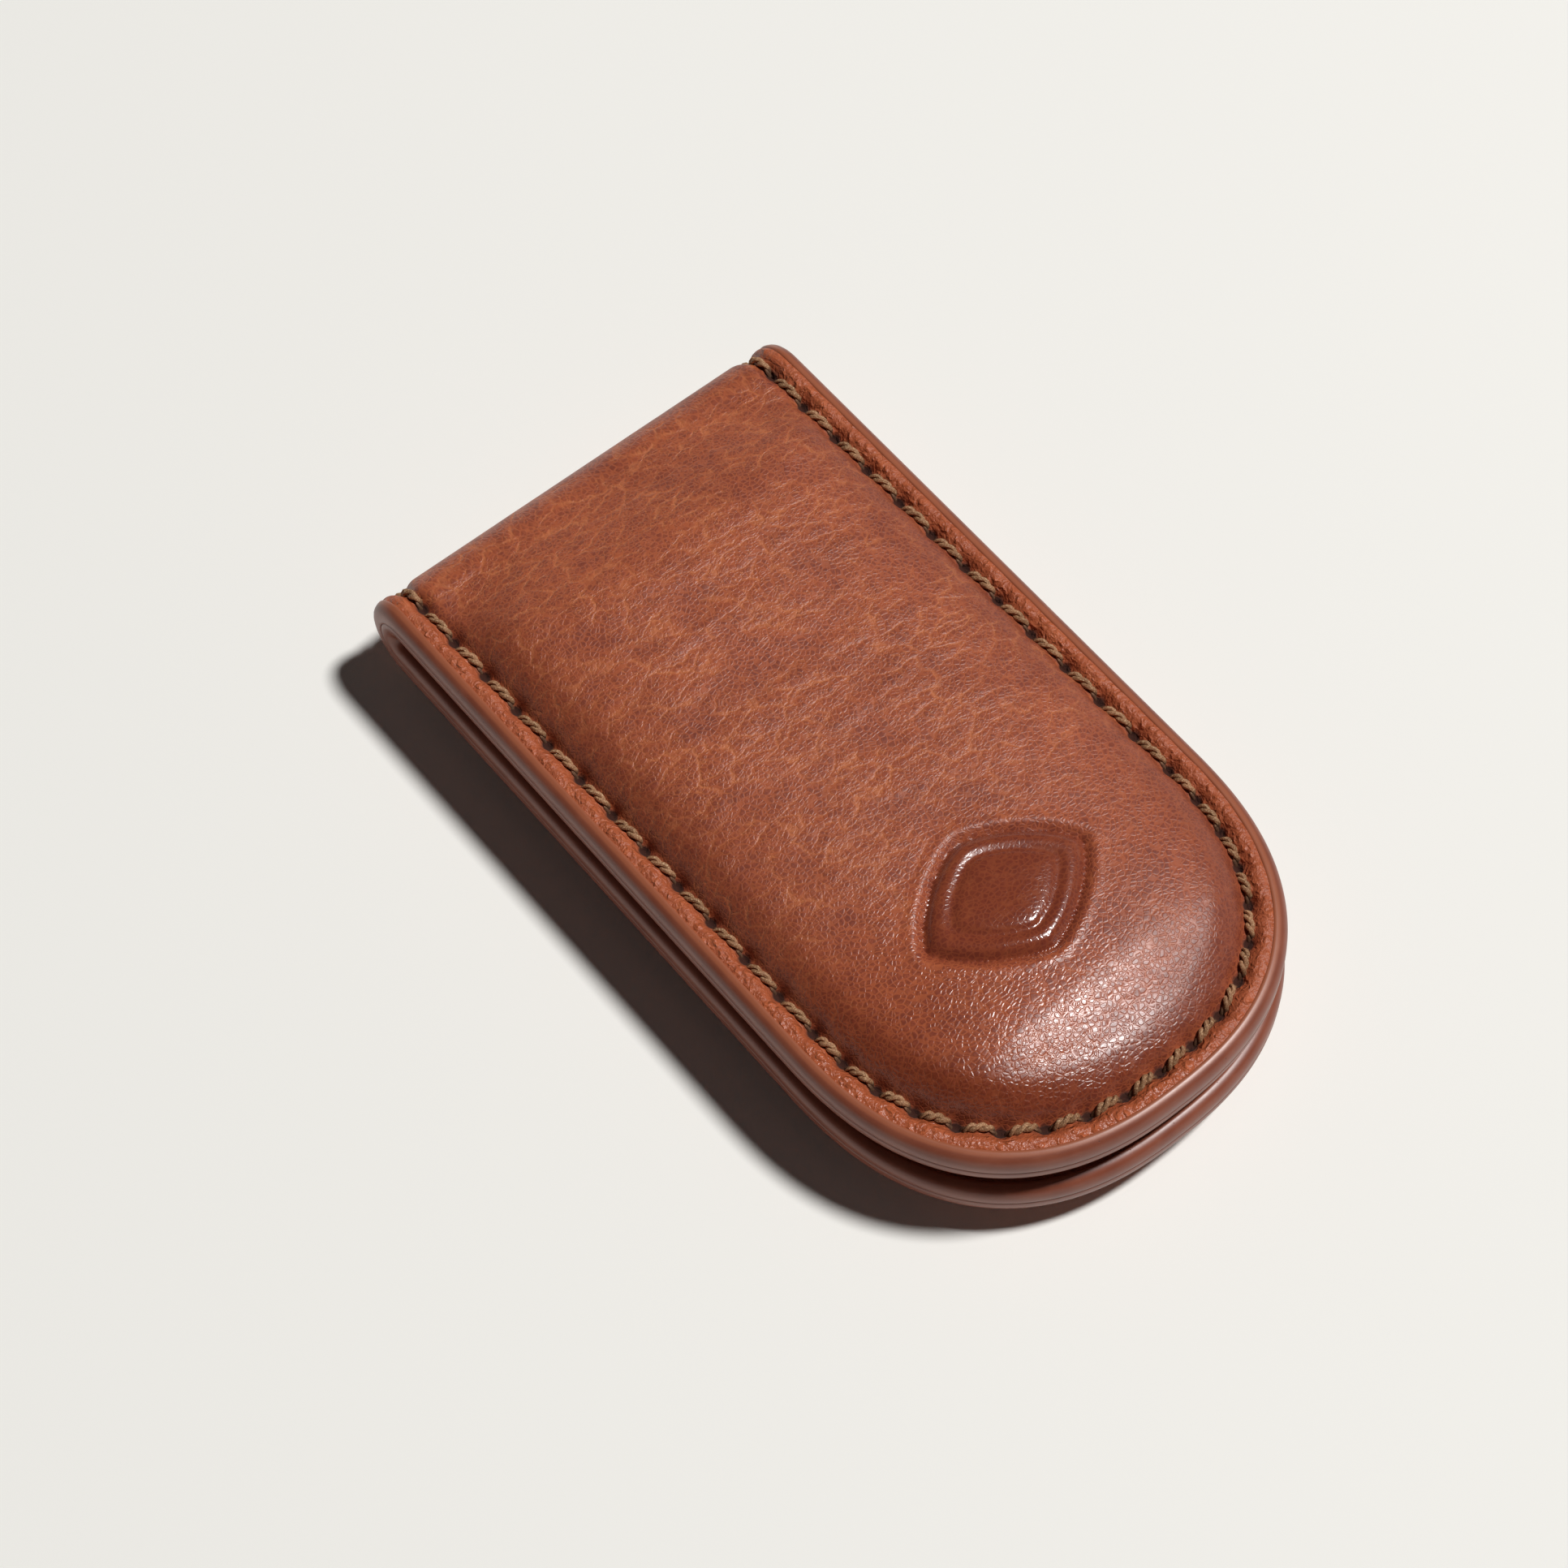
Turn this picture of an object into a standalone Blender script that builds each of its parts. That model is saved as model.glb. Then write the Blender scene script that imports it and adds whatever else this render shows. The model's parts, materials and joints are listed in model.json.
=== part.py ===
"""Money clip: one leather strip folded in a hairpin, with two padded leaves that magnets draw together.

The clip lies on its lower padded panel. +X points to the round noses, +Y runs across, +Z is up.
The origin is under the middle of the clip, at the level that the lower pad rests on.
The leather bends over the fold. Here it turns on four hinge lines, between three narrow spine
strips, and opens until both leaves lie flat.
"""
import math

import bmesh
import bpy
from mathutils import Matrix, Vector

# Overall sizes, in metres
CLIP_WIDTH = 0.0390
CLIP_LENGTH = 0.0700
LOWER_REACH = 0.0004
NOSE_DEPTH = 0.0204
NOSE_POWER = 2.4

# Leather, glue and the room for folded notes
COVER_THICKNESS = 0.0015
LINING_THICKNESS = 0.0014
GLUE_LINE = 0.0001
LEAF_GAP = 0.0015

# Puffed panels and what fills them
PAD_RISE = 0.0025
PAD_INSET = 0.0035
PAD_SETBACK = 0.0070
PAD_CORNER = 0.0042
PAD_SHOULDER = 0.0026
PAD_WALL = 0.0012
BOARD_THICKNESS = 0.0006
BOARD_CLEARANCE = 0.0004
MAGNET_DIAMETER = 0.0110
MAGNET_THICKNESS = 0.0015
MAGNET_SPACING = 0.0140
MAGNET_SETBACK = 0.0190
FIT_CLEARANCE = 0.0001
HOLLOW_LIP = 0.0001

# Edge paint and seam
PAINT_DEPTH = 0.0008
PAINT_ROUNDING = 0.0007
SEAM_INSET = 0.0026
THREAD_RADIUS = 0.0003
CHANNEL_CLEARANCE = 0.0001

# Fold
SPINE_STRIPS = 2
HINGE_GAP = 0.00006

# Fineness of the facets
NOSE_STEPS = 28
CORNER_STEPS = 5
SHOULDER_STEPS = 4
CUT_MARGIN = 0.0010
WELD_DISTANCE = 0.000001

# Values that follow from the sizes above
HINGE_COUNT = SPINE_STRIPS + 1
HINGE_TURN = math.pi / HINGE_COUNT
NEUTRAL_RADIUS = LEAF_GAP / 2 + LINING_THICKNESS + GLUE_LINE / 2
FOLD_RADIUS = NEUTRAL_RADIUS + GLUE_LINE / 2 + COVER_THICKNESS
STRIP_HALF = NEUTRAL_RADIUS * math.tan(HINGE_TURN / 2)
NOSE_X = (CLIP_LENGTH - LOWER_REACH) / 2
SPINE_X = NOSE_X - CLIP_LENGTH
FOLD_CENTRE = Vector((SPINE_X + FOLD_RADIUS, 0, PAD_RISE + FOLD_RADIUS))
COVER_LOW = GLUE_LINE / 2
COVER_HIGH = COVER_LOW + COVER_THICKNESS
LINING_HIGH = -GLUE_LINE / 2
LINING_LOW = LINING_HIGH - LINING_THICKNESS
LEATHER_INSET = PAINT_DEPTH + GLUE_LINE
NEEDLE_LEVEL = COVER_HIGH - THREAD_RADIUS
BOBBIN_LEVEL = LINING_LOW + THREAD_RADIUS
CHANNEL_RADIUS = THREAD_RADIUS + CHANNEL_CLEARANCE

LOOKS = {
    "cover_leather": ((0.42, 0.14, 0.06), 0.42, 0.0),
    "lining_leather": ((0.36, 0.13, 0.06), 0.60, 0.0),
    "edge_paint": ((0.26, 0.09, 0.05), 0.35, 0.0),
    "thread": ((0.30, 0.21, 0.11), 0.70, 0.0),
    "leather_board": ((0.30, 0.20, 0.12), 0.85, 0.0),
    "foam": ((0.10, 0.10, 0.11), 0.95, 0.0),
    "magnet_nickel": ((0.72, 0.71, 0.68), 0.25, 1.0),
}


def clear_scene():
    for item in list(bpy.data.objects):
        bpy.data.objects.remove(item, do_unlink=True)


def new_collection(name):
    collection = bpy.data.collections.new(name)
    bpy.context.scene.collection.children.link(collection)
    return collection


def make_material(name):
    colour, roughness, metallic = LOOKS[name]
    material = bpy.data.materials.new(name)
    material.use_nodes = True
    shader = material.node_tree.nodes["Principled BSDF"]
    shader.inputs["Base Color"].default_value = (*colour, 1.0)
    shader.inputs["Roughness"].default_value = roughness
    shader.inputs["Metallic"].default_value = metallic
    return material


def power(value, exponent):
    return math.copysign(abs(value) ** exponent, value)


def nose_points(nose_x, inset):
    """The round end of a leaf, from the -Y side to the +Y side, as a superellipse."""
    depth = NOSE_DEPTH - inset
    half = CLIP_WIDTH / 2 - inset
    centre_x = nose_x - NOSE_DEPTH
    points = []
    for step in range(NOSE_STEPS + 1):
        angle = math.pi * (step / NOSE_STEPS - 0.5)
        along = depth * power(math.cos(angle), 2 / NOSE_POWER) if 0 < step < NOSE_STEPS else 0.0
        across = half * power(math.sin(angle), 2 / NOSE_POWER)
        points.append((centre_x + along, across))
    return points


def fold_half(level):
    """Half the length that a spine strip takes at a height over the glue line.

    Outside the glue line the strips are straight, so that they meet when the clip lies open.
    Inside it they are wedges, so that they meet when the clip is shut.
    """
    wedge = (NEUTRAL_RADIUS + level) * math.tan(HINGE_TURN / 2)
    return min(STRIP_HALF, wedge) - HINGE_GAP / 2


def leaf_end_x(level):
    """Where a leaf ends at the fold, at a height over its glue line."""
    return FOLD_CENTRE.x - fold_half(level)


def leaf_outline(nose_x, inset, end_x):
    half = CLIP_WIDTH / 2 - inset
    return [(end_x, -half)] + nose_points(nose_x, inset) + [(end_x, half)]


def pad_outline(nose_x, inset):
    """A puffed panel's foot: the leaf's nose, straight sides and two round corners by the fold."""
    half = CLIP_WIDTH / 2 - PAD_INSET - inset
    radius = PAD_CORNER - inset
    start_x = SPINE_X + PAD_SETBACK + inset
    points = nose_points(nose_x, PAD_INSET + inset)
    for side, first in ((1, 90), (-1, 180)):
        for step in range(CORNER_STEPS + 1):
            angle = math.radians(first + 90 * step / CORNER_STEPS)
            x = start_x + radius + radius * math.cos(angle)
            y = side * (half - radius) + radius * math.sin(angle)
            points.append((x, y))
    return points


def new_object(name, mesh, collection):
    item = bpy.data.objects.new(name, mesh)
    collection.objects.link(item)
    return item


def curve_to_mesh(name, curve, collection):
    """A curve's solid as a welded mesh object; the curve itself is removed."""
    guide = new_object(name + "_guide", curve, collection)
    bpy.context.view_layer.update()
    evaluated = guide.evaluated_get(bpy.context.evaluated_depsgraph_get())
    mesh = bpy.data.meshes.new_from_object(evaluated)
    mesh.name = name
    bpy.data.objects.remove(guide, do_unlink=True)
    shape = bmesh.new()
    shape.from_mesh(mesh)
    bmesh.ops.remove_doubles(shape, verts=shape.verts, dist=WELD_DISTANCE)
    bmesh.ops.recalc_face_normals(shape, faces=shape.faces)
    shape.to_mesh(mesh)
    shape.free()
    return new_object(name, mesh, collection)


def plate(name, outline, low, high, collection):
    """A flat outline in X and Y, as thick as from low to high in Z."""
    curve = bpy.data.curves.new(name, "CURVE")
    curve.dimensions = "2D"
    curve.fill_mode = "BOTH"
    curve.extrude = (high - low) / 2
    spline = curve.splines.new("POLY")
    spline.points.add(len(outline) - 1)
    for point, (x, y) in zip(spline.points, outline):
        point.co = (x, y, 0, 1)
    spline.use_cyclic_u = True
    item = curve_to_mesh(name, curve, collection)
    item.data.transform(Matrix.Translation((0, 0, (high + low) / 2)))
    return item


def tube(name, path, radius, collection):
    """A round thread along a path of points."""
    curve = bpy.data.curves.new(name, "CURVE")
    curve.dimensions = "3D"
    curve.bevel_depth = radius
    curve.bevel_resolution = 1
    curve.use_fill_caps = True
    spline = curve.splines.new("POLY")
    spline.points.add(len(path) - 1)
    for point, place in zip(spline.points, path):
        point.co = (*place, 1)
    return curve_to_mesh(name, curve, collection)


def puff(name, outline, low, foot, rise, shoulder, collection):
    """A plate whose top is drawn in and raised, step by step, along a quarter ellipse."""
    item = plate(name, outline, low, foot, collection)
    shape = bmesh.new()
    shape.from_mesh(item.data)
    shape.normal_update()
    top = [face for face in shape.faces if face.normal.z > 0.5]
    drawn_in = 0.0
    raised = 0.0
    for step in range(1, SHOULDER_STEPS + 1):
        angle = math.pi / 2 * step / SHOULDER_STEPS
        next_in = shoulder * (1 - math.cos(angle))
        next_up = rise * math.sin(angle)
        bmesh.ops.inset_region(shape, faces=top, thickness=next_in - drawn_in, use_even_offset=True)
        corners = list({corner for face in top for corner in face.verts})
        bmesh.ops.translate(shape, verts=corners, vec=(0, 0, next_up - raised))
        drawn_in = next_in
        raised = next_up
    shape.to_mesh(item.data)
    shape.free()
    return item


def cylinder(name, radius, low, high, x, y, collection):
    shape = bmesh.new()
    bmesh.ops.create_cone(
        shape,
        cap_ends=True,
        segments=32,
        radius1=radius,
        radius2=radius,
        depth=high - low,
        matrix=Matrix.Translation((x, y, (high + low) / 2)),
    )
    mesh = bpy.data.meshes.new(name)
    shape.to_mesh(mesh)
    shape.free()
    return new_object(name, mesh, collection)


def box(name, low, high, collection):
    shape = bmesh.new()
    size = Vector(high) - Vector(low)
    middle = (Vector(high) + Vector(low)) / 2
    place = Matrix.Translation(middle) @ Matrix.Diagonal((*size, 1))
    bmesh.ops.create_cube(shape, size=1.0, matrix=place)
    mesh = bpy.data.meshes.new(name)
    shape.to_mesh(mesh)
    shape.free()
    return new_object(name, mesh, collection)


def combine(item, other, operation):
    """Add or cut another solid, which stays as a hidden guide."""
    other.hide_render = True
    other.display_type = "WIRE"
    modifier = item.modifiers.new(other.name, "BOOLEAN")
    modifier.operation = operation
    modifier.object = other
    modifier.solver = "EXACT"


def round_rims(item, offset):
    """Round the long rims of the edge paint, top and bottom, but not its cut ends."""
    shape = bmesh.new()
    shape.from_mesh(item.data)
    shape.normal_update()
    rims = []
    for edge in shape.edges:
        if len(edge.link_faces) != 2:
            continue
        normals = [face.normal for face in edge.link_faces]
        flat = [abs(normal.z) > 0.5 for normal in normals]
        cut_end = any(normal.x < -0.99 for normal in normals)
        if flat[0] != flat[1] and not cut_end:
            rims.append(edge)
    bmesh.ops.bevel(shape, geom=rims, offset=offset, segments=3, profile=0.5, affect="EDGES")
    shape.to_mesh(item.data)
    shape.free()


def seam_path(nose_x, level, end_x):
    """The needle's line round a leaf, from one side of the fold to the other."""
    return [(x, y, level) for x, y in leaf_outline(nose_x, SEAM_INSET, end_x)]


def fold_wedge(name, collection):
    """Cuts a leaf's inner half back along the line where it meets the first spine strip."""
    bottom = LINING_LOW - CUT_MARGIN / 4
    far_x = SPINE_X - CUT_MARGIN
    section = [(leaf_end_x(0), 0), (far_x, 0), (far_x, bottom), (leaf_end_x(bottom), bottom)]
    wedge = plate(name, section, -CLIP_WIDTH, CLIP_WIDTH, collection)
    wedge.data.transform(Matrix.Rotation(math.pi / 2, 4, "X"))
    return wedge


def build_leaf(leaf, nose_x, parts, cutters):
    """One leaf's pieces, drawn lying with its cover up and its glue line at zero height."""
    pieces = []

    def keep(item, look):
        item.data.materials.append(materials[look])
        pieces.append(item)
        return item

    end_x = leaf_end_x(COVER_LOW)
    cut_x = end_x - CUT_MARGIN
    leather = leaf_outline(nose_x, LEATHER_INSET, end_x)
    wedge = fold_wedge(f"{leaf}_fold_wedge", cutters)

    cover = keep(plate(f"cover_{leaf}_panel", leather, COVER_LOW, COVER_HIGH, parts), "cover_leather")
    middle = (COVER_LOW + COVER_HIGH) / 2
    dome_rise = PAD_RISE + COVER_HIGH - middle
    dome = puff(
        f"{leaf}_dome",
        pad_outline(nose_x, 0),
        middle - COVER_THICKNESS / 4,
        middle,
        dome_rise,
        PAD_SHOULDER,
        cutters,
    )
    combine(cover, dome, "UNION")
    hollow = puff(
        f"{leaf}_hollow",
        pad_outline(nose_x, PAD_WALL),
        COVER_LOW - CUT_MARGIN,
        COVER_LOW - HOLLOW_LIP,
        PAD_RISE + HOLLOW_LIP,
        PAD_SHOULDER,
        cutters,
    )
    combine(cover, hollow, "DIFFERENCE")
    top_path = seam_path(nose_x, NEEDLE_LEVEL, cut_x)
    top_channel = tube(f"{leaf}_top_channel", top_path, CHANNEL_RADIUS, cutters)
    combine(cover, top_channel, "DIFFERENCE")

    lining = keep(plate(f"lining_{leaf}_panel", leather, LINING_LOW, LINING_HIGH, parts), "lining_leather")
    combine(lining, wedge, "DIFFERENCE")
    low_path = seam_path(nose_x, BOBBIN_LEVEL, cut_x)
    low_channel = tube(f"{leaf}_low_channel", low_path, CHANNEL_RADIUS, cutters)
    combine(lining, low_channel, "DIFFERENCE")

    board_outline = pad_outline(nose_x, PAD_WALL + BOARD_CLEARANCE)
    board_low = COVER_LOW
    board_high = board_low + BOARD_THICKNESS
    board = keep(plate(f"{leaf}_board", board_outline, board_low, board_high, parts), "leather_board")

    foam = keep(
        puff(
            f"{leaf}_foam_pad",
            pad_outline(nose_x, PAD_WALL + FIT_CLEARANCE),
            COVER_LOW - CUT_MARGIN,
            COVER_LOW,
            PAD_RISE - FIT_CLEARANCE,
            PAD_SHOULDER,
            parts,
        ),
        "foam",
    )
    reach = CLIP_LENGTH
    foam_low = board_high + GLUE_LINE
    under_foam = box(f"{leaf}_under_foam", (-reach, -reach, -reach), (reach, reach, foam_low), cutters)
    combine(foam, under_foam, "DIFFERENCE")

    magnet_x = nose_x - MAGNET_SETBACK
    magnet_high = board_low + MAGNET_THICKNESS
    pocket_radius = MAGNET_DIAMETER / 2 + FIT_CLEARANCE
    for side, place in (("right", -1), ("left", 1)):
        magnet_y = place * MAGNET_SPACING / 2
        magnet = cylinder(
            f"{leaf}_{side}_magnet",
            MAGNET_DIAMETER / 2,
            board_low,
            magnet_high,
            magnet_x,
            magnet_y,
            parts,
        )
        keep(magnet, "magnet_nickel")
        pocket = cylinder(
            f"{leaf}_{side}_pocket",
            pocket_radius,
            board_low - CUT_MARGIN,
            magnet_high + FIT_CLEARANCE,
            magnet_x,
            magnet_y,
            cutters,
        )
        combine(board, pocket, "DIFFERENCE")
        combine(foam, pocket, "DIFFERENCE")

    rim = leaf_outline(nose_x, 0, end_x)
    paint = keep(plate(f"edge_paint_{leaf}", rim, LINING_LOW, COVER_HIGH, parts), "edge_paint")
    round_rims(paint, PAINT_ROUNDING)
    core_outline = leaf_outline(nose_x, PAINT_DEPTH, cut_x)
    core = plate(
        f"{leaf}_leather_core",
        core_outline,
        LINING_LOW - CUT_MARGIN,
        COVER_HIGH + CUT_MARGIN,
        cutters,
    )
    combine(paint, core, "DIFFERENCE")
    combine(paint, wedge, "DIFFERENCE")

    needle_path = seam_path(nose_x, NEEDLE_LEVEL, end_x)
    keep(tube(f"needle_thread_{leaf}", needle_path, THREAD_RADIUS, parts), "thread")
    bobbin_path = seam_path(nose_x, BOBBIN_LEVEL, leaf_end_x(LINING_LOW))
    keep(tube(f"bobbin_thread_{leaf}", bobbin_path, THREAD_RADIUS, parts), "thread")
    return pieces


def strip_profile(low, high):
    """A spine strip's section: straight outside the glue line, a wedge inside it."""
    levels = [low, high] if low * high >= 0 else [low, 0.0, high]
    right = [(fold_half(level), level) for level in levels]
    left = [(-half, level) for half, level in reversed(right)]
    return right + left


def build_strip(number, parts, cutters):
    """One spine strip's pieces, drawn with X along the leather, Y outwards and Z across the clip."""
    pieces = []
    half_width = CLIP_WIDTH / 2

    def keep(item, look):
        item.data.materials.append(materials[look])
        pieces.append(item)
        return item

    leather_half = half_width - LEATHER_INSET
    cover_shape = strip_profile(COVER_LOW, COVER_HIGH)
    cover = plate(f"cover_spine_{number}", cover_shape, -leather_half, leather_half, parts)
    keep(cover, "cover_leather")
    lining_shape = strip_profile(LINING_LOW, LINING_HIGH)
    lining = plate(f"lining_spine_{number}", lining_shape, -leather_half, leather_half, parts)
    keep(lining, "lining_leather")
    edge_shape = strip_profile(LINING_LOW, COVER_HIGH)
    thread_half = fold_half(NEEDLE_LEVEL)
    for side, place in (("left", -1), ("right", 1)):
        edges = sorted((place * (half_width - PAINT_DEPTH), place * half_width))
        keep(plate(f"edge_paint_spine_{number}_{side}", edge_shape, *edges, parts), "edge_paint")
        across = place * (half_width - SEAM_INSET)
        ends = [(-thread_half, NEEDLE_LEVEL, across), (thread_half, NEEDLE_LEVEL, across)]
        keep(tube(f"needle_thread_spine_{number}_{side}", ends, THREAD_RADIUS, parts), "thread")
        run_on = thread_half + CUT_MARGIN
        cut_ends = [(-run_on, NEEDLE_LEVEL, across), (run_on, NEEDLE_LEVEL, across)]
        channel = tube(f"spine_{number}_{side}_channel", cut_ends, CHANNEL_RADIUS, cutters)
        combine(cover, channel, "DIFFERENCE")
    return pieces


def hinge_point(number):
    """Hinge lines are the corners of the glue line's path round the fold, from the lower leaf up."""
    angle = -math.pi / 2 - HINGE_TURN * (number - 0.5)
    radius = NEUTRAL_RADIUS / math.cos(HINGE_TURN / 2)
    return FOLD_CENTRE + Vector((math.cos(angle), 0, math.sin(angle))) * radius


def strip_matrix(number):
    """Where a spine strip's own axes stand: Y outwards from the fold, Z across the clip."""
    angle = -math.pi / 2 - HINGE_TURN * number
    outwards = Vector((math.cos(angle), 0, math.sin(angle)))
    across = Vector((0, -1, 0))
    along = outwards.cross(across)
    turn = Matrix((along, outwards, across)).transposed().to_4x4()
    return Matrix.Translation(FOLD_CENTRE + outwards * NEUTRAL_RADIUS) @ turn


def new_pivot(name, place, parent, collection):
    pivot = new_object(name, None, collection)
    pivot.empty_display_size = CLIP_WIDTH / 4
    pivot.parent = parent
    pivot.location = place - parent.matrix_world.translation if parent else place
    bpy.context.view_layer.update()
    return pivot


def settle(pieces, cutters, matrix, pivot):
    """Turn and move a body's pieces and their cutters into place, then hang the pieces on its pivot."""
    for item in cutters:
        item.data.transform(matrix)
    for item in pieces:
        item.data.transform(matrix)
        item.data.transform(Matrix.Translation(-pivot.matrix_world.translation))
        item.parent = pivot


def shade(item):
    item.data.shade_smooth()
    item.data.set_sharp_from_angle(angle=math.radians(35))


clear_scene()
parts_collection = new_collection("money_clip")
cutter_collection = new_collection("money_clip_cutters")
materials = {look: make_material(look) for look in LOOKS}


def new_cutters(known):
    return [item for item in cutter_collection.objects if item not in known]


upper_matrix = Matrix.Translation((0, 0, FOLD_CENTRE.z + NEUTRAL_RADIUS))
lower_matrix = Matrix.Translation((0, 0, FOLD_CENTRE.z - NEUTRAL_RADIUS)) @ Matrix.Rotation(math.pi, 4, "X")

all_pieces = []
pivot = new_pivot("lower_leaf_pivot", Vector((0, 0, 0)), None, parts_collection)
lower_pieces = build_leaf("lower", NOSE_X + LOWER_REACH, parts_collection, cutter_collection)
settle(lower_pieces, new_cutters([]), lower_matrix, pivot)
all_pieces += lower_pieces
for strip in range(1, SPINE_STRIPS + 1):
    known_cutters = list(cutter_collection.objects)
    pivot = new_pivot(f"spine_{strip}_pivot", hinge_point(strip), pivot, parts_collection)
    strip_pieces = build_strip(strip, parts_collection, cutter_collection)
    settle(strip_pieces, new_cutters(known_cutters), strip_matrix(strip), pivot)
    all_pieces += strip_pieces
known_cutters = list(cutter_collection.objects)
pivot = new_pivot("upper_leaf_pivot", hinge_point(HINGE_COUNT), pivot, parts_collection)
upper_pieces = build_leaf("upper", NOSE_X, parts_collection, cutter_collection)
settle(upper_pieces, new_cutters(known_cutters), upper_matrix, pivot)
all_pieces += upper_pieces
for piece in all_pieces:
    shade(piece)
bpy.context.view_layer.update()
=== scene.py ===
import json
import math

import bmesh
import bpy
import numpy as np
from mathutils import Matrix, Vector


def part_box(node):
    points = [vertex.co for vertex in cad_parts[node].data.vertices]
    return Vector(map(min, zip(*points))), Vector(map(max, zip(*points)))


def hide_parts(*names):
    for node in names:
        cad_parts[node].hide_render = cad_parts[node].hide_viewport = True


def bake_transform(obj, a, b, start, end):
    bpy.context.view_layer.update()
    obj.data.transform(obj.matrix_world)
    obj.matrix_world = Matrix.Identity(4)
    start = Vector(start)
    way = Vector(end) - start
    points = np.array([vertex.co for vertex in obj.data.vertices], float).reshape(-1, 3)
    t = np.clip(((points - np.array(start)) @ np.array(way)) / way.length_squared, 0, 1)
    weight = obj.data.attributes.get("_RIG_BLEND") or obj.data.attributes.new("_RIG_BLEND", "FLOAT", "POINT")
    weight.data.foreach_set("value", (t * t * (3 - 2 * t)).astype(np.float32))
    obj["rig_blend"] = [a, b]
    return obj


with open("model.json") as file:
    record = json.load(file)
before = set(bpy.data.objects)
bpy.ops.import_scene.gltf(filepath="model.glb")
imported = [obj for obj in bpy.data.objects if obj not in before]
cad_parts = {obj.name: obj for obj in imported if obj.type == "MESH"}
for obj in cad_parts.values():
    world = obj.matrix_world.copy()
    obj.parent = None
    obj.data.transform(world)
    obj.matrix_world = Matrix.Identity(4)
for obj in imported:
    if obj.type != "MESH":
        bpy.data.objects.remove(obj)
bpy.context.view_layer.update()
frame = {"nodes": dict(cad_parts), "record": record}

# Cover leather
# One strip of cognac calf, moulded over a foam pad in each leaf and folded in a hairpin. It is cut
# and sewn flat, so each sheet and stitch is laid out flat here, in millimetres along, across and
# outwards from the glue line, and folded round the spine afterwards.
upper_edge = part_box("edge_paint_upper")
lower_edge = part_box("edge_paint_lower")
half_width = upper_edge[1].y * 1000
nose_depth = 20.4
nose_power = 2.4
bend_radius = 2.2
fold_x = -31.45
fold_z = (upper_edge[1].z + lower_edge[0].z) * 500
leaf_start = bend_radius * math.pi / 2
body_split = bend_radius * math.pi / 6
nose_tip = {
    "upper": leaf_start + upper_edge[1].x * 1000 - fold_x,
    "lower": leaf_start + lower_edge[1].x * 1000 - fold_x,
}
half_glue = 0.05
cover_thickness = 1.5
leather_inset = 0.9
seam_inset = 2.6
side_stitches = 12
nose_stitches = 18
half_nose_length = 28
even_inset = 3.0
fold_lines = 15
spine_lines = 29


def oval(swing):
    """The nose's outline for half axes of 1, from -90 degrees on the left to 90 on the right."""
    power = 2 / nose_power
    return np.cos(swing).clip(0) ** power, np.sign(swing) * np.abs(np.sin(swing)) ** power


def lay_out(leaf, root, swing, inset):
    """Flat points (along, across) at an inset from the strip's outline."""
    ahead, aside = oval(swing)
    along = root + (nose_depth - inset) * ahead
    return np.stack((along if leaf == "upper" else -along, (half_width - inset) * aside), -1)


def even_swings(count, inset):
    """Angles that part the nose's outline, at an inset, into equal lengths."""
    fine = np.linspace(-math.pi / 2, math.pi / 2, 4001)
    ahead, aside = oval(fine)
    steps = np.hypot(np.diff(ahead) * (nose_depth - inset), np.diff(aside) * (half_width - inset))
    walked = np.concatenate(([0], np.cumsum(steps)))
    return np.interp(np.linspace(0, walked[-1], count + 1), walked, fine)


def round_the_leaf(fold, side, nose):
    """Roots and swings up the left of a leaf, round its nose and back down the right."""
    straight = np.concatenate((fold, side))
    shoulder = np.full(len(nose), side[-1] + side[1] - side[0])
    roots = np.concatenate((straight, shoulder, straight[::-1]))
    quarter = np.full(len(straight), math.pi / 2)
    return roots, np.concatenate((-quarter, nose, quarter))


def stations(leaf, spacing):
    """Where the cross lines of a leaf's sheet start, on the outline."""
    shoulder = nose_tip[leaf] - nose_depth
    fold = np.linspace(body_split, leaf_start, fold_lines)[:-1]
    side = np.linspace(leaf_start, shoulder, round((shoulder - leaf_start) / spacing) + 1)[:-1]
    nose = even_swings(2 * round(half_nose_length / spacing), even_inset)
    return round_the_leaf(fold, side, nose)


def seam_holes(leaf):
    """Where the awl pierces a leaf: one hole at each end of every stitch."""
    side = np.linspace(leaf_start, nose_tip[leaf] - nose_depth, side_stitches + 1)[:-1]
    roots, swings = round_the_leaf([body_split], side, even_swings(nose_stitches, seam_inset))
    return lay_out(leaf, roots, swings, seam_inset)


holes = {leaf: seam_holes(leaf) for leaf in ("lower", "upper")}
all_holes = np.concatenate((holes["lower"], holes["upper"]))


def inset_of(along, across):
    """How far flat points lie inside the strip's outline."""
    tip = np.where(along > 0, nose_tip["upper"], nose_tip["lower"])
    ahead = np.maximum(np.abs(along) - tip + nose_depth, 0)
    low = np.zeros_like(along)
    high = np.full_like(along, half_width - 0.001)
    for _ in range(36):
        middle = (low + high) / 2
        reach = (ahead / (nose_depth - middle)) ** nose_power
        reach += (np.abs(across) / (half_width - middle)) ** nose_power
        low = np.where(reach > 1, low, middle)
        high = np.where(reach > 1, middle, high)
    return low


def ease(low, high, value):
    """0 before low, 1 after high, and a smooth step between them."""
    share = np.clip((value - low) / (high - low), 0, 1)
    return share * share * (3 - 2 * share)


def dent(depth, width, distance):
    """A smooth dip: its full depth at distance 0, fading over its width."""
    return depth * np.exp(-((distance / width) ** 2))


def swell(width, distance, power=2):
    """0 at distance 0, rising steeply and rounding off to 1 at its width."""
    return 1 - (1 - np.clip(distance / width, 0, 1)) ** power


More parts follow.
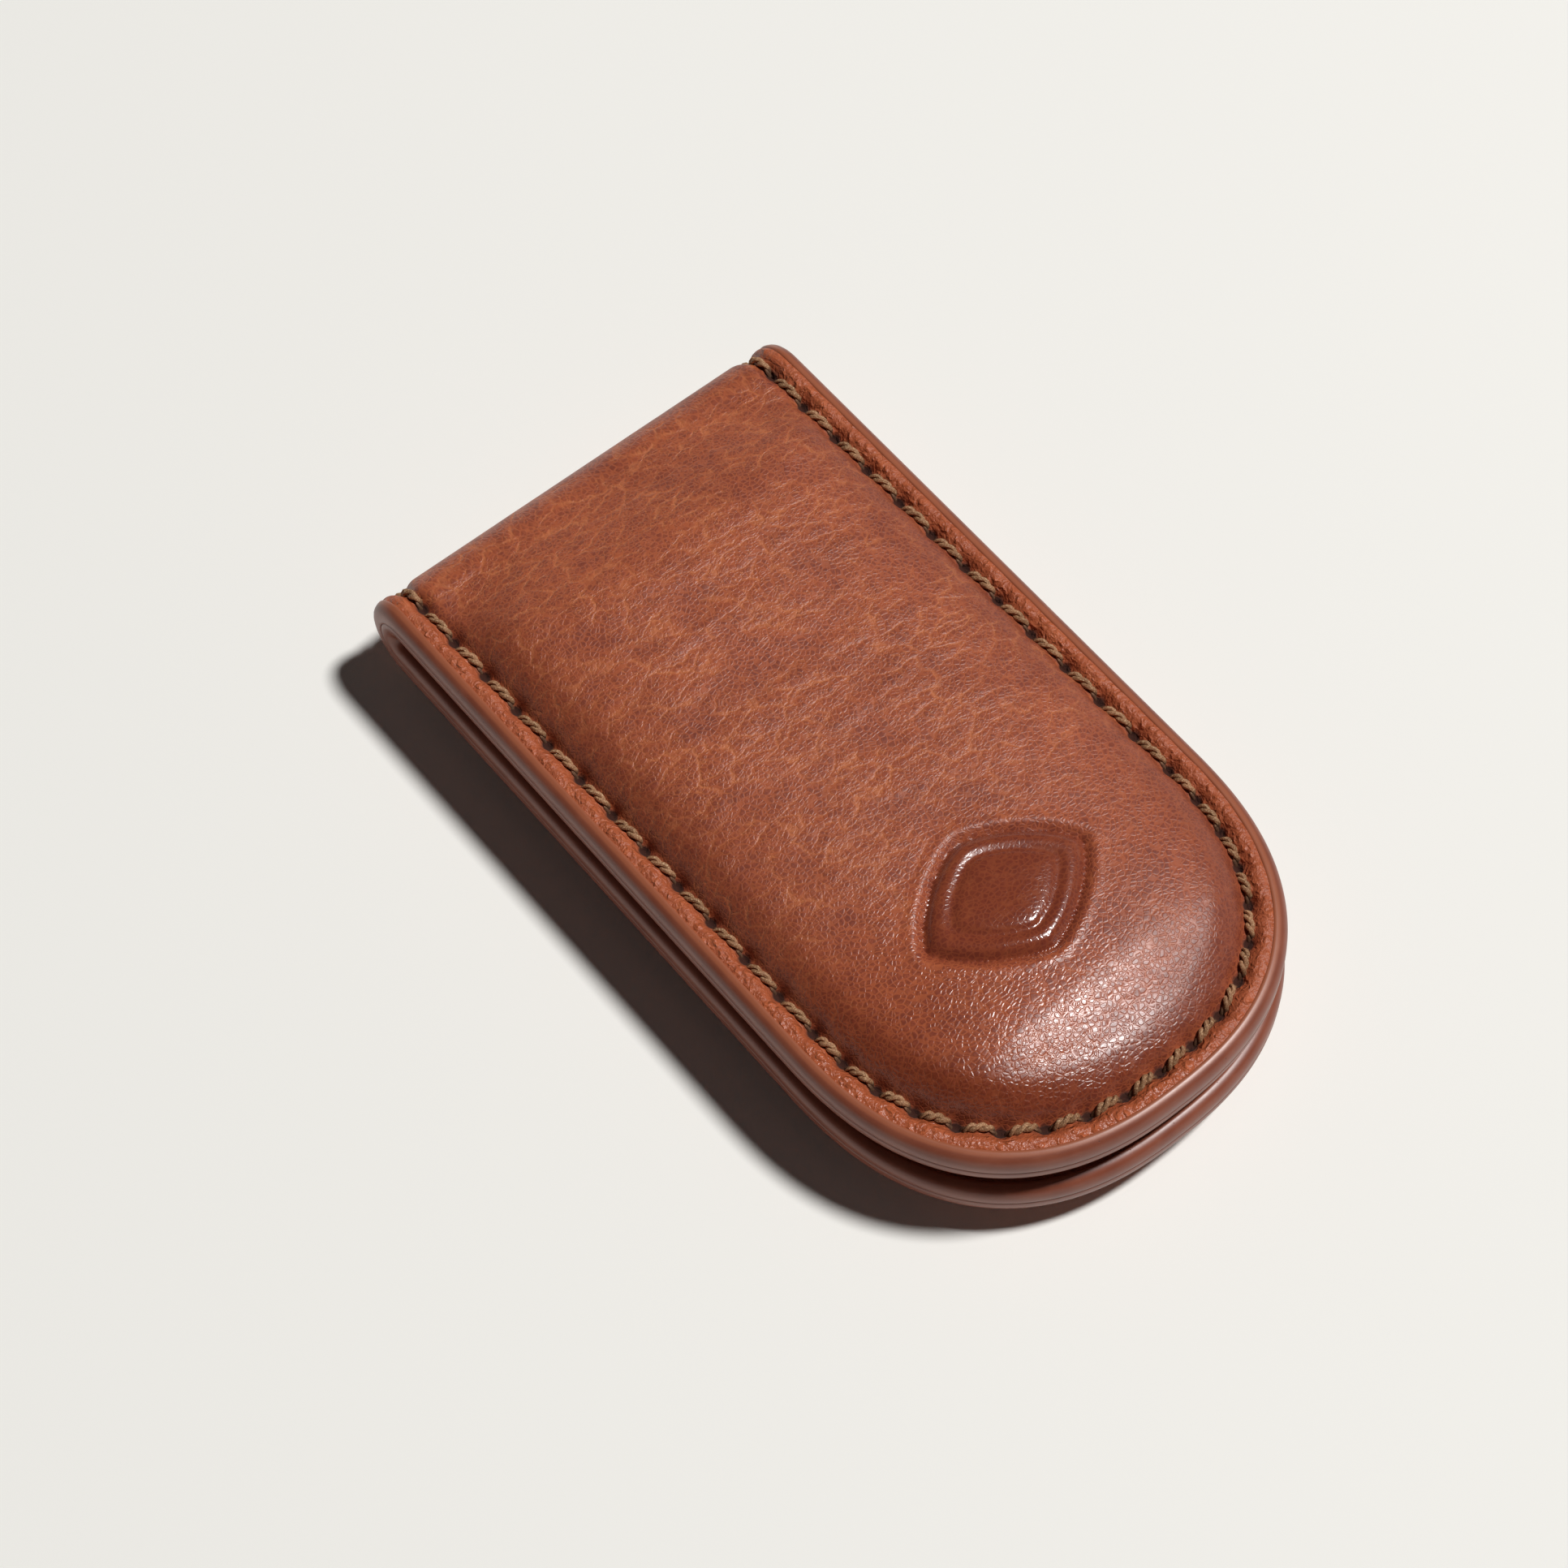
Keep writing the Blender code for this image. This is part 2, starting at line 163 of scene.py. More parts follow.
def hole_distance(along, across):
    """How far flat points lie from the nearest hole of the seam."""
    return np.hypot(along[:, None] - all_holes[:, 0], across[:, None] - all_holes[:, 1]).min(1)


upper_pad_height = 3.0
lower_pad_height = 2.5
lower_pad_fill = 1.6
shoulder_inset = 3.0
shoulder_width = 2.6
nose_roll = [(3, 0.24), (5, 0.36), (6, 0.46), (8, 0.69), (9.2, 0.82)]
nose_roll += [(10, 0.885), (12, 0.97), (13.5, 1), (19, 1)]
side_roll = [(3, 0.34), (5, 0.50), (6, 0.60), (8, 0.77), (10, 0.89)]
side_roll += [(12, 0.955), (14, 0.985), (17, 1), (19.5, 1)]


def smooth_through(stops, value):
    """A smooth curve through (place, height) stops."""
    places, heights = np.array(stops, float).T
    slopes = np.gradient(heights, places)
    value = np.clip(value, places[0], places[-1])
    index = np.clip(np.searchsorted(places, value, "right") - 1, 0, len(places) - 2)
    gap = places[index + 1] - places[index]
    share = (value - places[index]) / gap
    bend = (1 + 2 * share) * (1 - share) ** 2 * heights[index]
    bend += share * (1 - share) ** 2 * gap * slopes[index]
    bend += share**2 * (3 - 2 * share) * heights[index + 1]
    return bend + share**2 * (share - 1) * gap * slopes[index + 1]


def puff(along, across, inset):
    """How far the pad lifts the leather.

    It is steep by the seam, ramped at the fold, where the corners stay lower, and rolled at the
    nose. The lower pad is pressed flat where the clip lies on it.
    """
    reach = np.abs(along) - leaf_start
    corner = ease(7.0, 15.5, np.abs(across))
    ramp_start = -2.6 + 3.6 * corner
    ramp_end = 10.5 - 2.5 * corner
    ramp = ease(ramp_start, ramp_end, reach)
    tip = np.where(along > 0, nose_tip["upper"], nose_tip["lower"])
    roll = smooth_through(nose_roll, tip - np.abs(along))
    roll = roll * smooth_through(side_roll, half_width - np.abs(across))
    wall = swell(shoulder_width, inset - shoulder_inset, 2.2)
    rise = upper_pad_height * ramp * roll * wall
    pressed_flat = lower_pad_height * (1 - np.exp(-((rise / lower_pad_fill) ** 2.5)))
    return np.where(along > 0, rise, pressed_flat)


mark_along = leaf_start + 15.9 - fold_x
mark_across = -0.5
mark_half_length = 5.3
mark_half_width = 7.2
mark_power = 1.4
mark_reach = 6.0


def mark_depth(along, across):
    """A plain lozenge with a pressed rim, a pressed line inside it and a raised middle.

    Returns how deep it goes, and how far each point lies outside its rim.
    """
    rim = np.abs((along - mark_along) / mark_half_length) ** mark_power
    rim += np.abs((across - mark_across) / mark_half_width) ** mark_power
    out = (rim ** (1 / mark_power) - 1) * mark_reach
    pressed = dent(0.42, 0.42, out) - dent(0.10, 0.40, out - 0.95)
    band = 0.34 * swell(1.6, -out)
    middle = 0.26 * swell(2.8, -out - 2.2)
    line = dent(0.20, 0.34, out + 2.0)
    return pressed - (band + middle - line), out


def cover_heights(along, across):
    """The cover's outer and inner heights over the glue line at flat points."""
    inset = inset_of(along, across)
    rise = puff(along, across, inset)
    near = hole_distance(along, across)
    groove = dent(0.46, 0.52, inset - seam_inset)
    pucker = dent(0.30, 1.15, near) * ease(4.2, 3.0, inset)
    pierced = dent(0.42, 0.60, near)
    rolled = 0.10 * ease(1.3, 0.9, inset) - dent(0.16, 0.45, inset - 1.65)
    outer = half_glue + cover_thickness + rise - groove - pucker - pierced - rolled
    outer -= mark_depth(along, across)[0]
    inner = half_glue + puff(along, across, inset - 1.4) * 0.98
    return outer, np.minimum(inner, outer - 0.5)


def leaf_grid(leaf, spacing, insets, inner_rows):
    """A leaf's flat grid: rows in from its outline to its middle line, where left meets right."""
    roots, swings = stations(leaf, spacing)
    rim = np.array([lay_out(leaf, roots, swings, inset) for inset in insets])
    side = 1 if leaf == "upper" else -1
    ridge = np.stack((side * (roots + 7.0 * oval(swings)[0]), np.zeros(len(roots))), -1)
    share = np.linspace(0, 1, inner_rows + 1)[1:, None, None]
    return np.concatenate((rim, rim[-1] + share * (ridge - rim[-1])))


def spine_grid(insets, inner_rows):
    """The flat grid of the strip between the two leaves."""
    middle = half_width - insets[-1]
    inner = -middle * (1 - np.arange(1, inner_rows + 1) / inner_rows)
    left = np.concatenate((-half_width + insets, inner))
    across = np.concatenate((left, -left[-2::-1]))
    along = np.linspace(-body_split, body_split, spine_lines)
    return np.stack(np.broadcast_arrays(along[None, :], across[:, None]), -1)


def outward(mesh):
    """Turns every face of a closed mesh outwards."""
    shell = bmesh.new()
    shell.from_mesh(mesh)
    bmesh.ops.recalc_face_normals(shell, faces=shell.faces)
    shell.to_mesh(mesh)
    shell.free()


def add_piece(name, points, faces, finish):
    """A flat piece from points in millimetres."""
    mesh = bpy.data.meshes.new(name)
    mesh.from_pydata(points.tolist(), [], faces)
    outward(mesh)
    mesh.materials.append(finish)
    piece = bpy.data.objects.new(name, mesh)
    bpy.context.scene.collection.objects.link(piece)
    return piece


def keep_values(piece, **values):
    """Stores named numbers or vectors on a piece's points, for its material."""
    for name, value in values.items():
        kind, field = ("FLOAT_VECTOR", "vector") if value.ndim == 2 else ("FLOAT", "value")
        layer = piece.data.attributes.new(name, kind, "POINT")
        layer.data.foreach_set(field, value.astype(np.float32).ravel())


def flat_points(piece):
    """A piece's points as an array."""
    points = np.empty(len(piece.data.vertices) * 3, np.float32)
    piece.data.vertices.foreach_get("co", points)
    return points.reshape(-1, 3).astype(float)


def sheet(name, grid, heights, finish):
    """A closed sheet over a flat grid.

    A leaf's last row runs up its middle line and back down it, so its two halves are joined.
    """
    rows, columns = grid.shape[:2]
    number = np.arange(rows * columns).reshape(rows, columns)
    if np.allclose(grid[-1, 0], grid[-1, -1]):
        number[-1, columns // 2 + 1 :] = number[-1, : columns // 2][::-1]
    used, number = np.unique(number, return_inverse=True)
    number = number.reshape(rows, columns)
    flat = grid.reshape(-1, 2)[used]
    outer, inner = heights(flat[:, 0], flat[:, 1])
    corners = (number[:-1, :-1], number[:-1, 1:], number[1:, 1:], number[1:, :-1])
    quads = np.stack(corners, -1).reshape(-1, 4)
    count = len(flat)
    start, end = quads.ravel(), np.roll(quads, -1, axis=1).ravel()
    rim = ~np.isin(start * count + end, end * count + start)
    start, end = start[rim], end[rim]
    walls = np.stack((end, start, start + count, end + count), -1)
    points = np.concatenate((np.column_stack((flat, outer)), np.column_stack((flat, inner))))
    faces = np.concatenate((quads, quads[:, ::-1] + count, walls)).tolist()
    return add_piece(name, points, faces, finish)


def fold(piece):
    """Folds a flat piece round the spine, into metres, and turns its shading with it."""
    mesh = piece.data
    flat = flat_points(piece)
    keep_values(piece, laid_flat=flat)
    mesh.polygons.foreach_set("use_smooth", np.ones(len(mesh.polygons), bool))
    mesh.set_sharp_from_angle(angle=math.radians(42))
    corner = np.empty(len(mesh.loops), np.int32)
    mesh.loops.foreach_get("vertex_index", corner)
    normal = np.empty(len(mesh.loops) * 3, np.float32)
    mesh.corner_normals.foreach_get("vector", normal)
    normal = normal.reshape(-1, 3)
    turn = np.clip(flat[:, 0] / bend_radius, -math.pi / 2, math.pi / 2)
    none = np.zeros(len(turn))
    outwards = np.stack((-np.cos(turn), none, np.sin(turn)), -1)
    onwards = np.stack((np.sin(turn), none, np.cos(turn)), -1)
    radius = bend_radius + flat[:, 2]
    beyond = np.maximum(np.abs(flat[:, 0]) - leaf_start, 0)
    place = outwards * radius[:, None] + np.stack((fold_x + beyond, flat[:, 1], none + fold_z), -1)
    stretch = np.where(beyond > 0, 1.0, bend_radius / radius)
    turned = onwards[corner] * (normal[:, 0] * stretch[corner])[:, None]
    turned += outwards[corner] * normal[:, 2:] + np.array([0, 1, 0]) * normal[:, 1:2]
    mesh.vertices.foreach_set("co", (place / 1000).astype(np.float32).ravel())
    turned /= np.linalg.norm(turned, axis=1, keepdims=True)
    mesh.normals_split_custom_set(turned.tolist())
    mesh.update()
    return piece


hinge_place = [Vector(joint["pos_m"]) for joint in frame["record"]["behaviour"]["joints"]]
bends = {
    "lower": ("lower_leaf", "spine_1", hinge_place[0], -60),
    "spine": ("spine_1", "spine_2", hinge_place[1], 0),
    "upper": ("spine_2", "upper_leaf", hinge_place[2], 60),
}


def bend_with(piece, part, inner_radius):
    """Lets a piece bend with the leather, over the hinge that its part of the strip crosses."""
    first, second, hinge, turn = bends[part]
    turn = math.radians(turn)
    reach = Vector((math.sin(turn), 0, math.cos(turn))) * inner_radius / 2000
    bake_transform(piece, first, second, start=hinge - reach, end=hinge + reach)


class Wire:
    """One socket of a node tree, so that shader maths reads as an expression."""

    def __init__(self, tree, socket=None):
        self.tree = tree
        self.socket = socket

    def node(self, kind, settings=(), sockets=(), out=0):
        """Adds any node, sets it, links or fills its sockets, and returns its output."""
        node = self.tree.nodes.new(kind)
        for name, value in dict(settings).items():
            setattr(node, name, value)
        for name, value in dict(sockets).items():
            for one in value if isinstance(value, list) else [value]:
                if isinstance(one, Wire):
                    self.tree.links.new(one.socket, node.inputs[name])
                else:
                    node.inputs[name].default_value = one
        return Wire(self.tree, node.outputs[out]) if node.outputs else node

    def maths(self, operation, first, second=0.0):
        return self.node("ShaderNodeMath", {"operation": operation}, {0: first, 1: second})

    def __add__(self, other):
        return self.maths("ADD", self, other)

    __radd__ = __add__

    def __sub__(self, other):
        return self.maths("SUBTRACT", self, other)

    def __rsub__(self, other):
        return self.maths("SUBTRACT", other, self)

    def __mul__(self, other):
        return self.maths("MULTIPLY", self, other)

    __rmul__ = __mul__

    def __truediv__(self, other):
        return self.maths("DIVIDE", self, other)

    def __pow__(self, other):
        return self.maths("POWER", self, other)

    def __abs__(self):
        return self.maths("ABSOLUTE", self)

    def eased(self, low, high):
        """0 before low, 1 after high, and a smooth step between them."""
        settings = {"interpolation_type": "SMOOTHSTEP"}
        if low < high:
            return self.node("ShaderNodeMapRange", settings, {0: self, 1: low, 2: high})
        return 1 - self.node("ShaderNodeMapRange", settings, {0: self, 1: high, 2: low})

    def tint(self, first, second):
        """This number's mix of two colours."""
        sockets = {0: self, 6: first, 7: second}
        return self.node("ShaderNodeMix", {"data_type": "RGBA"}, sockets, out=2)


def rgb(red, green, blue):
    """A colour as seen on a screen, 0 to 255, turned to the linear values that a shader takes."""
    parts = [part / 255 for part in (red, green, blue)]
    return (*[p / 12.92 if p < 0.04045 else ((p + 0.055) / 1.055) ** 2.4 for p in parts], 1.0)


def new_finish(name, make, **constants):
    """A material: constants go on the shader's own sockets, and make returns the linked ones."""
    finish = bpy.data.materials.new(name)
    finish.use_nodes = True
    tree = finish.node_tree
    tree.nodes.clear()
    pen = Wire(tree)
    sockets = {name.replace("_", " "): value for name, value in constants.items()}
    sockets.update(make(pen))
    shader = pen.node("ShaderNodeBsdfPrincipled", {}, sockets)
    pen.node("ShaderNodeOutputMaterial", {}, {"Surface": shader})
    return finish


def stored(pen, name, out="Vector"):
    """A value that keep_values stored on the piece."""
    return pen.node("ShaderNodeAttribute", {"attribute_name": name}, {}, out)


def noise(pen, where, scale, detail=3.0, roughness=0.5, out=0):
    sockets = {"Vector": where, "Scale": scale, "Detail": detail, "Roughness": roughness}
    return pen.node("ShaderNodeTexNoise", {}, sockets, out)


def cells(pen, where, scale, feature="DISTANCE_TO_EDGE"):
    sockets = {"Vector": where, "Scale": scale}
    return pen.node("ShaderNodeTexVoronoi", {"feature": feature}, sockets, "Distance")


def stretched(pen, where, factors, wander=None, much=0.0):
    """Pattern coordinates that are stretched and, with a wander, pushed about by noise."""
    kind = "ShaderNodeVectorMath"
    if wander is not None:
        centred = pen.node(kind, {"operation": "SUBTRACT"}, {0: wander, 1: (0.5, 0.5, 0.5)})
        pushed = pen.node(kind, {"operation": "SCALE"}, {0: centred, "Scale": much})
        where = pen.node(kind, {"operation": "ADD"}, {0: where, 1: pushed})
    return pen.node(kind, {"operation": "MULTIPLY"}, {0: where, 1: factors})


def part_of(pen, where, axis):
    """One coordinate of a place: X, Y or Z."""
    return pen.node("ShaderNodeSeparateXYZ", {}, {0: where}, axis)


def bumped(pen, height, deep, strength=1.0):
    """Fine relief: deep is what a height of 1 stands for, in metres."""
    sockets = {"Height": height, "Distance": deep, "Strength": strength}
    return pen.node("ShaderNodeBump", {}, sockets)


def calf(pen):
    """Cognac calf with a pebbled grain.

    It is creased and paler where it wears near the fold, polished on the nose, and crinkled on the
    flange outside the seam, with painted shade in the crinkle's hollows. It is burnished on the
    shoulder inside the seam, with painted shade there too, most on the left and round the nose,
    and its holes and the seam's groove are painted dark as shade.
    """
    flat = stored(pen, "laid_flat")
    inset = stored(pen, "inset", "Fac")
    near = stored(pen, "near", "Fac")
    burnish = stored(pen, "burnish", "Fac")
    press = stored(pen, "press", "Fac")
    wander = noise(pen, flat, 0.55, 3.0, out="Color")
    crumple = noise(pen, flat, 1.6, 2.0, out="Color")
    net = cells(pen, stretched(pen, flat, (1.0, 0.40, 0.6), wander, 1.5), 0.70)
    fine = cells(pen, stretched(pen, flat, (1.0, 0.62, 0.8), crumple, 0.7), 1.35)
    grain = cells(pen, stretched(pen, flat, (1.0, 0.85, 1.0), wander, 0.5), 2.7)
    patches = noise(pen, flat, 0.14, 4.0, 0.55)
    blotch = noise(pen, flat, 0.8, 4.0, 0.6)
    along = abs(part_of(pen, flat, "X"))
    aside = part_of(pen, flat, "Y")
    worn = noise(pen, flat, 0.22, 2.0, 0.5).eased(0.30, 0.58)
    worn = worn * (0.30 + 0.70 * along.eased(54.0, 36.0))
    broken = 0.35 + 0.65 * noise(pen, flat, 0.9, 2.0, 0.6).eased(0.36, 0.58)
    crease = net.eased(0.075, 0.0) * worn * broken
    small_crease = fine.eased(0.09, 0.0) * worn * broken
    valley = net.eased(0.42, 0.0) * worn
    folds = noise(pen, stretched(pen, flat, (1.0, 0.22, 0.6), wander, 1.6), 0.42, 1.0) * worn
    pebble = grain.eased(0.02, 0.20)
    speck = noise(pen, flat, 3.0, 3.0, 0.65)
    crinkle = cells(pen, stretched(pen, flat, (1.0, 1.0, 1.0), crumple, 0.8), 1.25).eased(0.0, 0.55)
    flange = inset.eased(3.0, 2.3)
    # Where shade is painted: in the seam's holes and, half as strong, along its groove.
    painted_hole_shade = near.eased(0.60, 0.30) + abs(inset - seam_inset).eased(0.36, 0.10) * 0.5
    colour = patches.eased(0.32, 0.68).tint(rgb(143, 70, 49), rgb(162, 83, 58))
    colour = (blotch.eased(0.42, 0.70) * 0.6).tint(colour, rgb(116, 54, 44))
    colour = (pebble * speck.eased(0.36, 0.60) * 0.55).tint(colour, rgb(104, 46, 34))
    colour = ((1 - pebble) * 0.35).tint(colour, rgb(188, 102, 60))
    colour = (valley * 0.34).tint(colour, rgb(176, 88, 50))
    colour = (small_crease * 0.35).tint(colour, rgb(190, 106, 64))
    colour = (crease * 0.55).tint(colour, rgb(204, 120, 74))
    colour = (worn * speck.eased(0.56, 0.70) * 0.45).tint(colour, rgb(204, 124, 78))
    colour = (flange * (0.55 + 0.35 * crinkle)).tint(colour, rgb(190, 98, 58))
    # Painted shade in the hollows of the flange's crinkle.
    colour = (flange * (1 - crinkle) * 0.15).tint(colour, rgb(118, 54, 34))
    # Burnish and painted shade on the shoulder inside the seam: a dark brown tint.
    colour = (burnish * (0.35 + 0.6 * speck)).tint(colour, rgb(96, 34, 14))
    colour = (press * 0.55).tint(colour, rgb(98, 40, 28))
    # Painted shade in the seam's holes and along its groove.
    colour = (painted_hole_shade * 0.92).tint(colour, rgb(56, 24, 13))
    height = pebble * 0.18 + (1 - crease) * 0.35 + (1 - small_crease) * 0.2 + blotch * 0.3
    height = height + folds * 2.0 - valley * 0.4 + flange * (crinkle * 2.0 + speck)
    height = height * (1 - press * 0.65)
    polish = along.eased(42.0, 52.0) * aside.eased(9.0, -3.0)
    rough = 0.38 - 0.16 * polish + 0.12 * blotch + 0.06 * flange
    rough = rough - 0.11 * press + 0.06 * crease + 0.55 * painted_hole_shade
    return {"Base Color": colour, "Roughness": rough, "Normal": bumped(pen, height, 0.0001, 0.85)}


cover_finish = new_finish("cognac_calf", calf, IOR=1.45, Specular_IOR_Level=0.56)
leather_insets = np.concatenate((np.arange(leather_inset, 6.0, 0.15), [6.0]))
cover_spacing = 0.265
cover_rows = 42


def finish_cover(piece):
    """Stores what the calf's finish follows: rim, holes, burnish and painted shade, and the mark."""
    flat = flat_points(piece)
    along, across = flat[:, 0], flat[:, 1]
    inset = inset_of(along, across)
    reach = np.abs(along) - leaf_start
    shoulder = ease(2.9, 3.6, inset) * ease(7.6, 4.2, inset) * ease(0.0, 6.0, reach)
    beyond = reach - (nose_tip["upper"] - nose_depth - leaf_start)
    # Burnish and painted shade on the shoulder wall: darkest on the left side, which faces away from the key
    # light, and round the nose rim.
    burnish = shoulder * (0.45 + 0.25 * ease(3.0, 12.0, -across) + 0.4 * ease(0.0, 14.0, beyond))
    out = mark_depth(along, across)[1]
    press = ease(0.5, -0.2, out) * (along > 0)
    near = hole_distance(along, across)
    keep_values(piece, inset=inset, near=near, burnish=burnish.clip(0, 1), press=press)
    return fold(piece)


covers = {}
for part in ("lower", "spine", "upper"):
    if part == "spine":
        grid = spine_grid(leather_insets, cover_rows)
    else:
        grid = leaf_grid(part, cover_spacing, leather_insets, cover_rows)
    covers[part] = finish_cover(sheet(f"cover_leather_{part}", grid, cover_heights, cover_finish))
    bend_with(covers[part], part, bend_radius + half_glue)
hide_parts("cover_lower_panel")
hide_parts("cover_spine_1", "cover_spine_2")
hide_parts("cover_upper_panel")

# Lining leather
# A second strip, of smooth brown calf, skived and glued inside the cover and round the hairpin.
# It is what grips the notes. The bobbin side of the seam lies in a shallow groove in it.
lining_thickness = 1.4


def lining_heights(along, across):
    """The lining's outer and inner heights over the glue line at flat points."""
    inset = inset_of(along, across)
    groove = dent(0.34, 0.42, inset - seam_inset)
    rolled = 0.12 * ease(1.6, 0.9, inset)
    inner = -half_glue - lining_thickness + groove + rolled
    return np.full_like(along, -half_glue), inner


def lining_calf(pen):
    """Smooth dyed calf with a close fine grain and faint rub marks."""
    flat = stored(pen, "laid_flat")
    wander = noise(pen, flat, 0.8, 3.0, out="Color")
    grain = cells(pen, stretched(pen, flat, (1.0, 0.8, 1.0), wander, 0.6), 3.0)
    patches = noise(pen, flat, 0.12, 4.0, 0.6)
    rub = noise(pen, stretched(pen, flat, (0.25, 1.2, 1.0)), 0.7, 4.0, 0.6)
    colour = patches.eased(0.3, 0.7).tint(rgb(122, 65, 41), rgb(134, 73, 46))
    colour = (grain.eased(0.10, 0.0) * 0.45).tint(colour, rgb(98, 49, 31))
    colour = (rub.eased(0.55, 0.8) * 0.2).tint(colour, rgb(150, 90, 60))
    height = grain.eased(0.0, 0.14) * 0.6 + patches * 0.4
    rough = 0.52 + 0.16 * rub
    return {"Base Color": colour, "Roughness": rough, "Normal": bumped(pen, height, 0.00004, 0.7)}


lining_finish = new_finish("lining_calf", lining_calf, IOR=1.45)
lining_insets = np.concatenate((np.arange(leather_inset, 4.2, 0.22), [4.4, 5.2, 6.0]))
lining_spacing = 0.5
lining_rows = 16
linings = {}
for part in ("lower", "spine", "upper"):
    if part == "spine":
        grid = spine_grid(lining_insets, lining_rows)
    else:
        grid = leaf_grid(part, lining_spacing, lining_insets, lining_rows)
    linings[part] = fold(sheet(f"lining_leather_{part}", grid, lining_heights, lining_finish))
    bend_with(linings[part], part, bend_radius - half_glue - lining_thickness)
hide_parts("lining_lower_panel")
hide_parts("lining_spine_1", "lining_spine_2")
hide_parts("lining_upper_panel")

# Edge paint
# Brown edge paint, built up in coats and burnished to a rounded satin bead over the raw edges of
# both leathers. A thin lip stands up where it meets them, and the glue line is a faint groove. The
# bead's outline is in millimetres in from the edge and out from the glue line.
outer_bead = [(0.05, 0.0), (0.01, 0.07), (0.0, 0.2), (0.0, 0.45), (0.02, 0.7), (0.07, 0.93)]
outer_bead += [(0.16, 1.13), (0.29, 1.30), (0.45, 1.42), (0.62, 1.49), (0.76, 1.54), (0.86, 1.56)]
outer_bead += [(0.95, 1.555), (1.02, 1.53), (1.07, 1.46), (0.90, 1.30), (0.90, 0.0)]
inner_flattening = 0.935
inner_bead = [(inset, -height * inner_flattening) for inset, height in outer_bead]
paint_spacing = 0.35
paint_thickness = 1.5


def bead(name, leaf, roots, swings, section, finish):
    """A run of edge paint: its closed section swept along part of the outline, with closed ends."""
    rings = [np.column_stack((lay_out(leaf, roots, swings, inset), np.full(len(roots), height)))
             for inset, height in section]
    points = np.stack(rings, 1)
    runs, sides = points.shape[:2]
    number = np.arange(runs * sides).reshape(runs, sides)
    after = np.roll(number, -1, axis=1)
    quads = np.stack((number[:-1], after[:-1], after[1:], number[1:]), -1).reshape(-1, 4)
    faces = quads.tolist() + [number[0].tolist(), number[-1, ::-1].tolist()]
    return add_piece(name, points.reshape(-1, 3), faces, finish)


def edge_paint(pen):
    """Satin paint: slow changes of tone, tiny pinholes, a painted highlight on its crown and lip, and a dark
    glue line.
    """
    flat = stored(pen, "laid_flat")
    height = abs(part_of(pen, flat, "Z"))
    tone = noise(pen, flat, 0.35, 3.0)
    streak = noise(pen, stretched(pen, flat, (0.6, 0.6, 3.0)), 1.4, 4.0, 0.6)
    pits = cells(pen, flat, 1.7, "F1").eased(0.10, 0.03) * noise(pen, flat, 0.9).eased(0.5, 0.6)
    colour = tone.eased(0.3, 0.7).tint(rgb(124, 66, 48), rgb(134, 74, 54))
    colour = (streak.eased(0.5, 0.75) * 0.18).tint(colour, rgb(150, 92, 72))
    # Painted highlight on the crown and lip of the bead, on both faces.
    colour = (height.eased(1.42, 1.52) * 0.55).tint(colour, rgb(172, 100, 68))
    colour = (height.eased(0.09, 0.02) * 0.4).tint(colour, rgb(74, 36, 26))
    colour = (pits * 0.7).tint(colour, rgb(60, 30, 22))
    relief = streak * 0.25 - pits
    rough = 0.30 + 0.12 * streak
    return {"Base Color": colour, "Roughness": rough, "Normal": bumped(pen, relief, 0.00004, 0.6)}


paint_finish = new_finish("edge_paint_satin", edge_paint, IOR=1.47)
spine_runs = np.linspace(-body_split, body_split, spine_lines)
for side, section in (("outer", outer_bead), ("inner", inner_bead)):
    inner_radius = bend_radius if side == "outer" else bend_radius - paint_thickness
    for part in ("lower", "upper"):
        roots, swings = stations(part, paint_spacing)
        piece = bead(f"edge_paint_{part}_{side}", part, roots, swings, section, paint_finish)
        bend_with(fold(piece), part, inner_radius)
        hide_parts(f"edge_paint_{part}")
    for hand, swing in (("left", -math.pi / 2), ("right", math.pi / 2)):
        swings = np.full(len(spine_runs), swing)
        name = f"edge_paint_spine_{hand}_{side}"
        piece = bead(name, "upper", spine_runs, swings, section, paint_finish)
        bend_with(fold(piece), "spine", inner_radius)
        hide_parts(f"edge_paint_spine_1_{hand}", f"edge_paint_spine_2_{hand}")

# Seam
# One row of lockstitch round the whole strip, in two-ply khaki thread: the needle thread outside
# and the bobbin thread on the lining. Each stitch is two plies laid round each other, and it dives
# into its holes.


ply_offset = 0.54
ply_radius = 0.53
ply_sides = 8


